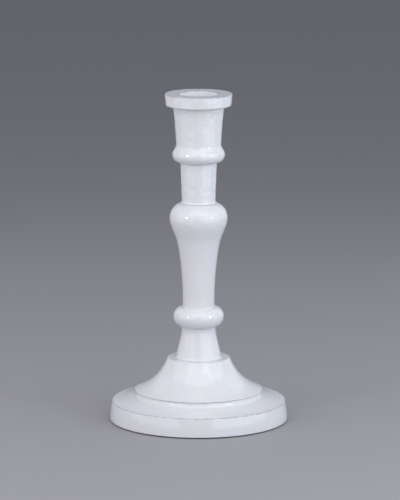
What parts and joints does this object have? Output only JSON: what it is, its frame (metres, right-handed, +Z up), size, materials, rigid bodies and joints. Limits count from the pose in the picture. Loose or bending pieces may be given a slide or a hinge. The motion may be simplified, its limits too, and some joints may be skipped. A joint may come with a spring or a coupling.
{
  "type": "candlestick",
  "caption": "White painted turned-wood candlestick with a round stepped base, a baluster stem and a flanged socket for one dinner candle.",
  "frame": {"origin": "middle of the felt pad's underside, on the surface that the candlestick stands on", "axes": "+Z up along the turning axis, from the foot to the candle socket; the part is round, so X and Y are any two level directions, and one base dowel stands on +Y"},
  "size_m": [0.1028, 0.1028, 0.1906],
  "materials": {
    "white_enamel": "brushed gloss white enamel paint over turned beech",
    "enamelled_tinplate": "thin tinplate, painted over with gloss white enamel",
    "beech": "bare, compressed and fluted",
    "steel": "zinc-plated, slightly dull",
    "felt": "dark green wool felt"
  },
  "bodies": {
    "root": {"felt_pad": "felt", "plinth": "white_enamel", "dome": "white_enamel", "base_dowel_1": "beech", "base_dowel_2": "beech", "base_dowel_3": "beech", "screw_washer": "steel", "base_screw": "steel", "lower_stem": "white_enamel", "stem_dowel": "beech", "candle_socket": "white_enamel", "candle_cup": "enamelled_tinplate", "cup_screw": "steel"}
  },
  "joints": []
}
